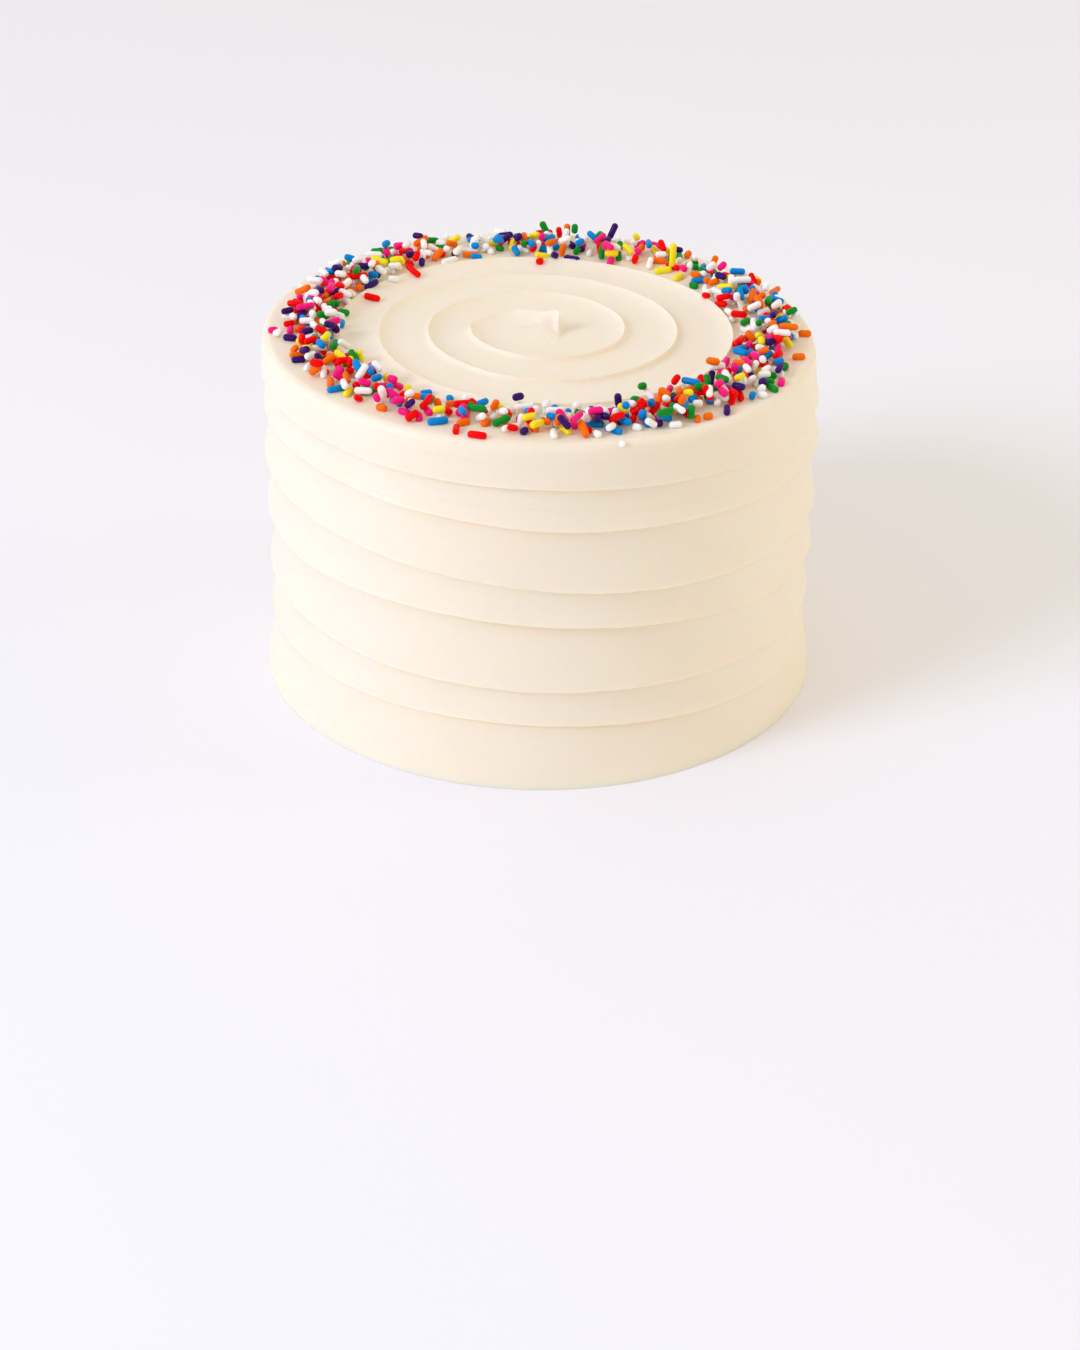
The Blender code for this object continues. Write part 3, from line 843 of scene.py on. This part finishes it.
class Heap:
    """The sprinkles laid so far, and how high another one lies on them."""

    def __init__(self, tree):
        self.tree = tree
        self.starts, self.ends = np.zeros((0, 3)), np.zeros((0, 3))

    def floor(self, x, y):
        """Height of the frosting under a point."""
        hit = self.tree.ray_cast(Vector((x, y, RAY_START)), Vector((0.0, 0.0, -1.0)))[0]
        return hit.z if hit else -1.0

    def needed(self, x, y, radius):
        """Lowest height of the axis of a rod over each point."""
        height = np.array([self.floor(*point) for point in zip(x, y)]) + radius - SPRINKLE_SINK
        if len(self.starts):
            run = self.ends[:, :2] - self.starts[:, :2]
            span = np.maximum((run ** 2).sum(1), 1e-12)
            along_x = (x[:, None] - self.starts[:, 0]) * run[:, 0]
            along_y = (y[:, None] - self.starts[:, 1]) * run[:, 1]
            part = np.clip((along_x + along_y) / span, 0.0, 1.0)
            near_x = self.starts[:, 0] + part * run[:, 0]
            near_y = self.starts[:, 1] + part * run[:, 1]
            near_z = self.starts[:, 2] + part * (self.ends[:, 2] - self.starts[:, 2])
            away = (x[:, None] - near_x) ** 2 + (y[:, None] - near_y) ** 2
            over = near_z + np.sqrt(np.maximum(TOUCH ** 2 - away, 0.0))
            over = np.where(away < TOUCH ** 2, over, -1.0)
            height = np.maximum(height, over.max(1))
        return height

    def rest(self, x, y, yaw, length):
        """The two ends of a rod's axis where it comes to rest, or None where that is too steep."""
        half = 0.5 * length - AXIS_INSET
        along = np.linspace(-half, half, 2 * REST_POINTS + 1)
        need = self.needed(x + along * math.cos(yaw), y + along * math.sin(yaw), SPRINKLE_RADIUS)
        if need.min() < 0.0:
            return None
        best = (need[REST_POINTS], 0.0)
        for i in range(REST_POINTS):
            for j in range(REST_POINTS + 1, 2 * REST_POINTS + 1):
                slope = (need[j] - need[i]) / (along[j] - along[i])
                middle = need[i] - slope * along[i]
                if middle > best[0]:
                    best = (middle, slope)
        middle, slope = best
        if abs(slope) > STEEPEST:
            return None
        tilt = math.atan(slope)
        reach = direction(yaw, tilt) * half
        centre = np.array([x, y, middle])
        return centre - reach, centre + reach

    def lean(self, x, y, yaw, length, tilt):
        """The two ends of a rod's axis that stands with its lower end in what lies there."""
        foot = self.needed(np.array([x]), np.array([y]), SPRINKLE_RADIUS)[0]
        if foot < 0.0:
            return None
        start = np.array([x, y, foot - LEANING_SINK])
        return start, start + direction(yaw, tilt) * (length - 2.0 * AXIS_INSET)

    def lay(self, ends):
        self.starts = np.vstack([self.starts, ends[0]])
        self.ends = np.vstack([self.ends, ends[1]])


def wreath_place(rng):
    """A random turn and radius in the wreath, more often where it is dense."""
    while True:
        turn = rng.random()
        if rng.random() * DENSITY_MOST < through(DENSITY_TURNS, DENSITY, turn):
            break
    inner, outer = wreath_edges(turn)
    return turn, inner + (outer - inner) * rng.betavariate(WREATH_SPREAD, WREATH_SPREAD)


def lay_sprinkles(tree):
    """Ends and colours of all sprinkles."""
    rng = random.Random(SEED)
    heap = Heap(tree)
    laid = []
    names = list(SPRINKLE_COLOURS)
    shares = [SPRINKLE_COLOURS[name][0] for name in names]
    while len(laid) < SPRINKLE_COUNT:
        turn, radius = wreath_place(rng)
        length = rng.triangular(*SPRINKLE_LENGTHS)
        tries = []
        if rng.random() < LEANING_SHARE:
            tilt = math.radians(rng.uniform(*LEANING_TILTS))
            place = (-math.cos(TAU * turn) * radius, -math.sin(TAU * turn) * radius)
            ends = heap.lean(*place, rng.uniform(0.0, TAU), LEANING_LENGTH * length, tilt)
            if ends and ends[1][2] < HEIGHT + LEANING_TOP:
                heap.lay(ends)
                laid.append((ends, rng.choices(names, shares)[0]))
            continue
        for _ in range(SPRINKLE_TRIES):
            t = turn + rng.gauss(0.0, TRY_SPREAD[0])
            r = radius + rng.gauss(0.0, TRY_SPREAD[1])
            x, y = -math.cos(TAU * t) * r, -math.sin(TAU * t) * r
            ends = heap.rest(x, y, rng.uniform(0.0, TAU), length)
            if ends:
                tries.append(ends)
        if not tries:
            continue
        best = min(tries, key=lambda ends: ends[0][2] + ends[1][2])
        heap.lay(best)
        laid.append((best, rng.choices(names, shares)[0]))
    for name, x, y, yaw, length in STRAYS:
        ends = heap.rest(x * MM, y * MM, math.radians(yaw), length * MM)
        if ends:
            heap.lay(ends)
            laid.append((ends, name))
    for name, x, y, yaw, tilt, length in STANDING:
        start = np.array([x * MM, y * MM, heap.floor(x * MM, y * MM) + SPRINKLE_RADIUS])
        reach = direction(math.radians(yaw), math.radians(tilt)) * length * MM
        laid.append(((start, start + reach), name))
    return laid


def sprinkles(tree):
    """The sprinkles as one piece for each colour."""
    rng = random.Random(SEED + 1)
    parts = {name: ([], [], 0) for name in SPRINKLE_COLOURS}
    for (start, end), name in lay_sprinkles(tree):
        radius = SPRINKLE_RADIUS * rng.uniform(*SPRINKLE_THICKNESSES)
        grow = (end - start) / np.linalg.norm(end - start) * AXIS_INSET
        bend = rng.uniform(-SPRINKLE_BEND, SPRINKLE_BEND) * MM
        points, faces = rod(start - grow, end + grow, radius, bend, rng.uniform(0.0, TAU))
        all_points, all_faces, total = parts[name]
        all_points.append(points)
        all_faces += [tuple(total + vertex for vertex in face) for face in faces]
        parts[name] = (all_points, all_faces, total + len(points))
    pieces = []
    for name, (points, faces, _) in parts.items():
        piece = add_piece("sprinkles_" + name, np.concatenate(points), faces)
        piece.data.materials.append(sprinkle_material("sugar_" + name, SPRINKLE_COLOURS[name][1]))
        pieces.append(piece)
    return pieces


def set_camera():
    camera = bpy.data.objects.new("camera", bpy.data.cameras.new("camera"))
    bpy.context.scene.collection.objects.link(camera)
    camera.data.sensor_width = 36.0
    camera.data.lens = CAMERA_LENS
    pitch, roll, yaw = map(math.radians, (CAMERA_PITCH, CAMERA_ROLL, CAMERA_YAW))
    ahead = Vector(direction(0.5 * math.pi - yaw, -pitch))
    level = Vector((math.cos(yaw), -math.sin(yaw), 0.0))
    up = level.cross(ahead)
    right = math.cos(roll) * level + math.sin(roll) * up
    up = -math.sin(roll) * level + math.cos(roll) * up
    turned = Matrix((right, up, -ahead)).transposed().to_4x4()
    camera.matrix_world = Matrix.Translation(CAMERA_PLACE) @ turned
    bpy.context.scene.camera = camera


def add_light(name, place, size, power, colour):
    """A large soft lamp aimed at the cake."""
    lamp = bpy.data.lights.new(name, "AREA")
    lamp.shape = "DISK"
    lamp.size = size
    lamp.energy = power
    lamp.color = colour
    piece = bpy.data.objects.new(name, lamp)
    bpy.context.scene.collection.objects.link(piece)
    aim = Vector(LAMP_TARGET) - Vector(place)
    turned = aim.to_track_quat("-Z", "Y").to_matrix().to_4x4()
    piece.matrix_world = Matrix.Translation(place) @ turned


def studio():
    """A pale floor under soft light."""
    world = bpy.data.worlds.new("studio")
    world.use_nodes = True
    nodes, links = world.node_tree.nodes, world.node_tree.links
    background = nodes["Background"]
    background.inputs["Color"].default_value = ROOM_COLOUR
    towards = nodes.new("ShaderNodeVectorMath")
    towards.operation = "DOT_PRODUCT"
    towards.inputs[1].default_value = DARK_SIDE
    links.new(nodes.new("ShaderNodeTexCoord").outputs["Generated"], towards.inputs[0])
    strength = scaled(nodes, links, towards.outputs["Value"], *ROOM_LIGHT)
    links.new(strength, background.inputs["Strength"])
    bpy.context.scene.world = world
    for name, lamp in LAMPS.items():
        add_light(name, *lamp)
    corners = np.array([(-1, -1, 0), (1, -1, 0), (1, 1, 0), (-1, 1, 0)]) * FLOOR_REACH
    floor = add_piece("floor", corners, [(0, 1, 2, 3)])
    material, nodes, links, main = shader("pale_floor")
    place = nodes.new("ShaderNodeTexCoord").outputs["Object"]
    patches = noise(nodes, links, place, 3.0)
    links.new(mix_colour(nodes, links, patches, *FLOOR_COLOURS), main.inputs["Base Color"])
    main.inputs["Roughness"].default_value = 0.6
    floor.data.materials.append(material)
    bpy.context.scene.view_settings.view_transform = "Standard"


def cake():
    """The frosting and the sprinkles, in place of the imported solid."""
    body = frosting()
    body.data.materials.append(frosting_material())
    corners = [vertex.co for vertex in body.data.vertices]
    tree = BVHTree.FromPolygons(corners, [face.vertices for face in body.data.polygons])
    for piece in [body, *sprinkles(tree)]:
        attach(piece, "root")
        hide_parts("frosted_cake")


set_camera()
studio()
cake()
